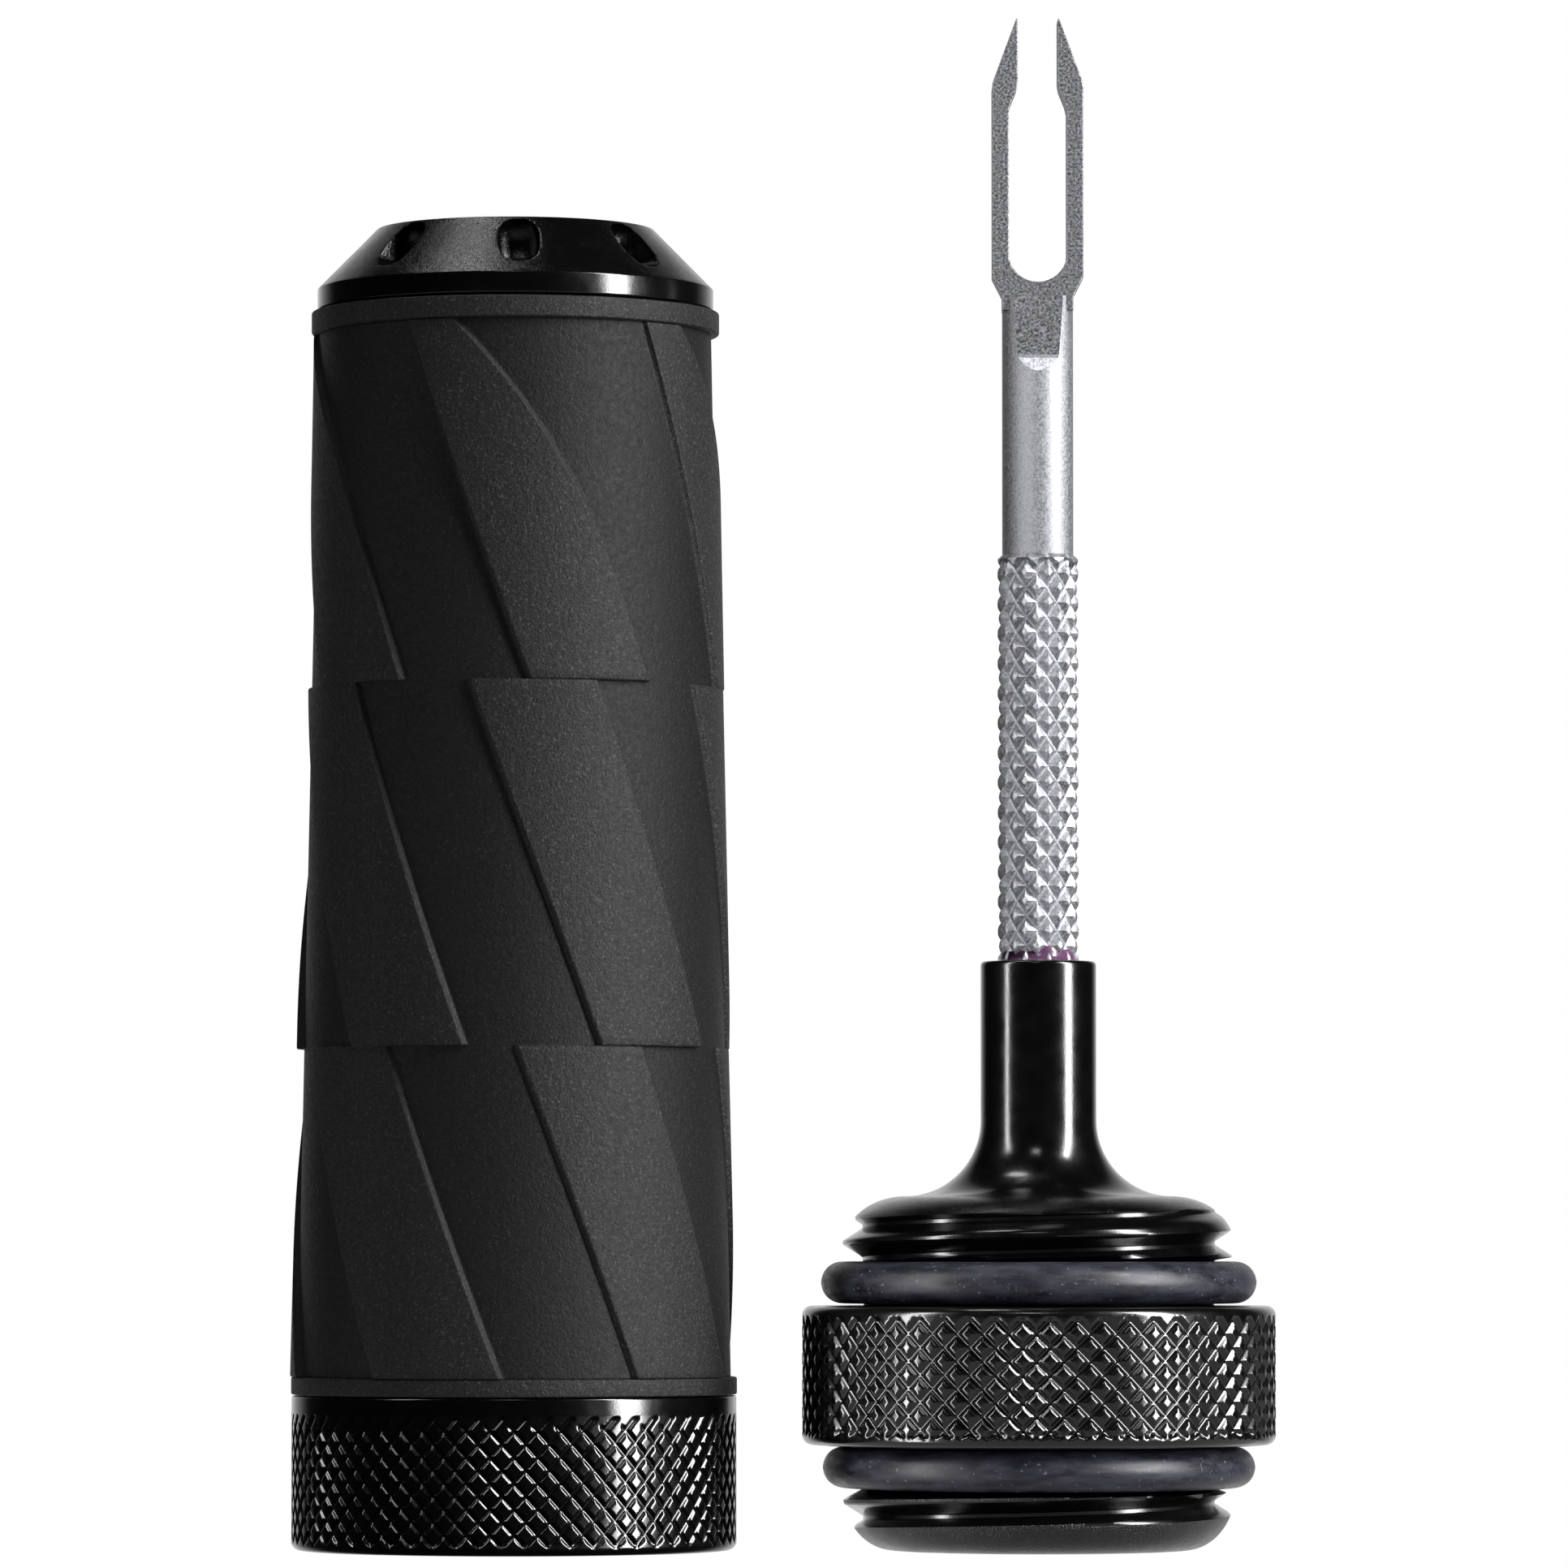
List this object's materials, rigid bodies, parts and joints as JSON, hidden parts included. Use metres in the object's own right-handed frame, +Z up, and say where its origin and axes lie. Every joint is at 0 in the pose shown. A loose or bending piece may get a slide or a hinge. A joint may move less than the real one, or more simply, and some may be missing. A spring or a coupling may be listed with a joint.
{
  "type": "tubeless tyre plug tool",
  "caption": "Pocket tool for plugging tubeless tyres: a capsule handle that holds spare plugs, and a reversible threaded insert that carries a split-eye fork.",
  "frame": {"origin": "on the ground under the middle of the whole layout's bounding box", "axes": "+Z up along both pieces' axes; +X from the handle to the insert; -Y towards the front, which faces the flat side of the fork"},
  "size_m": [0.0452, 0.0218, 0.0705],
  "materials": {
    "black_metal": "black anodised, satin",
    "grip_rubber": "matte, fine grain",
    "seal_rubber": "moulded, dusty sheen",
    "fork_steel": "machined and tumbled",
    "plug_rubber": "tacky, fibrous",
    "locking_compound": "cured, glossy"
  },
  "bodies": {
    "handle": {"barrel": "black_metal", "grip_sleeve": "grip_rubber"},
    "cap_seal": {"cap_seal": "seal_rubber"},
    "cap": {"end_cap": "black_metal"},
    "spare_plugs": {"spare_plug_1": "plug_rubber", "spare_plug_2": "plug_rubber", "spare_plug_3": "plug_rubber", "spare_plug_4": "plug_rubber", "spare_plug_5": "plug_rubber"},
    "lower_o_ring": {"lower_o_ring": "seal_rubber"},
    "insert": {"insert_body": "black_metal", "upper_o_ring": "seal_rubber", "fork": "fork_steel", "locking_compound": "locking_compound"}
  },
  "joints": [
    {"name": "cap_rise", "type": "slide", "parent": "handle", "child": "cap_seal", "axis": [0, 0, 1], "range_m": [0, 0.004]},
    {"name": "cap_turn", "type": "hinge", "parent": "cap_seal", "child": "cap", "pos_m": [-0.01237, 0, 0.057], "axis": [0, 0, 1], "range_deg": [0, 1440]},
    {"name": "insert_advance", "type": "slide", "parent": "handle", "child": "spare_plugs", "axis": [0, 0, 1], "range_m": [0, 0.003]},
    {"name": "insert_flip", "type": "hinge", "parent": "spare_plugs", "child": "lower_o_ring", "pos_m": [-0.00032, 0, -0.0001], "axis": [0, 1, 0], "range_deg": [0, 180]},
    {"name": "insert_turn", "type": "hinge", "parent": "lower_o_ring", "child": "insert", "pos_m": [0.01173, 0, 0.008], "axis": [0, 0, -1], "range_deg": [0, 720]}
  ],
  "couplings": [
    {"joint": "cap_rise", "follows": "cap_turn", "m_per_rad": 0.00015915},
    {"joint": "insert_advance", "follows": "insert_turn", "m_per_rad": 0.00023873}
  ]
}
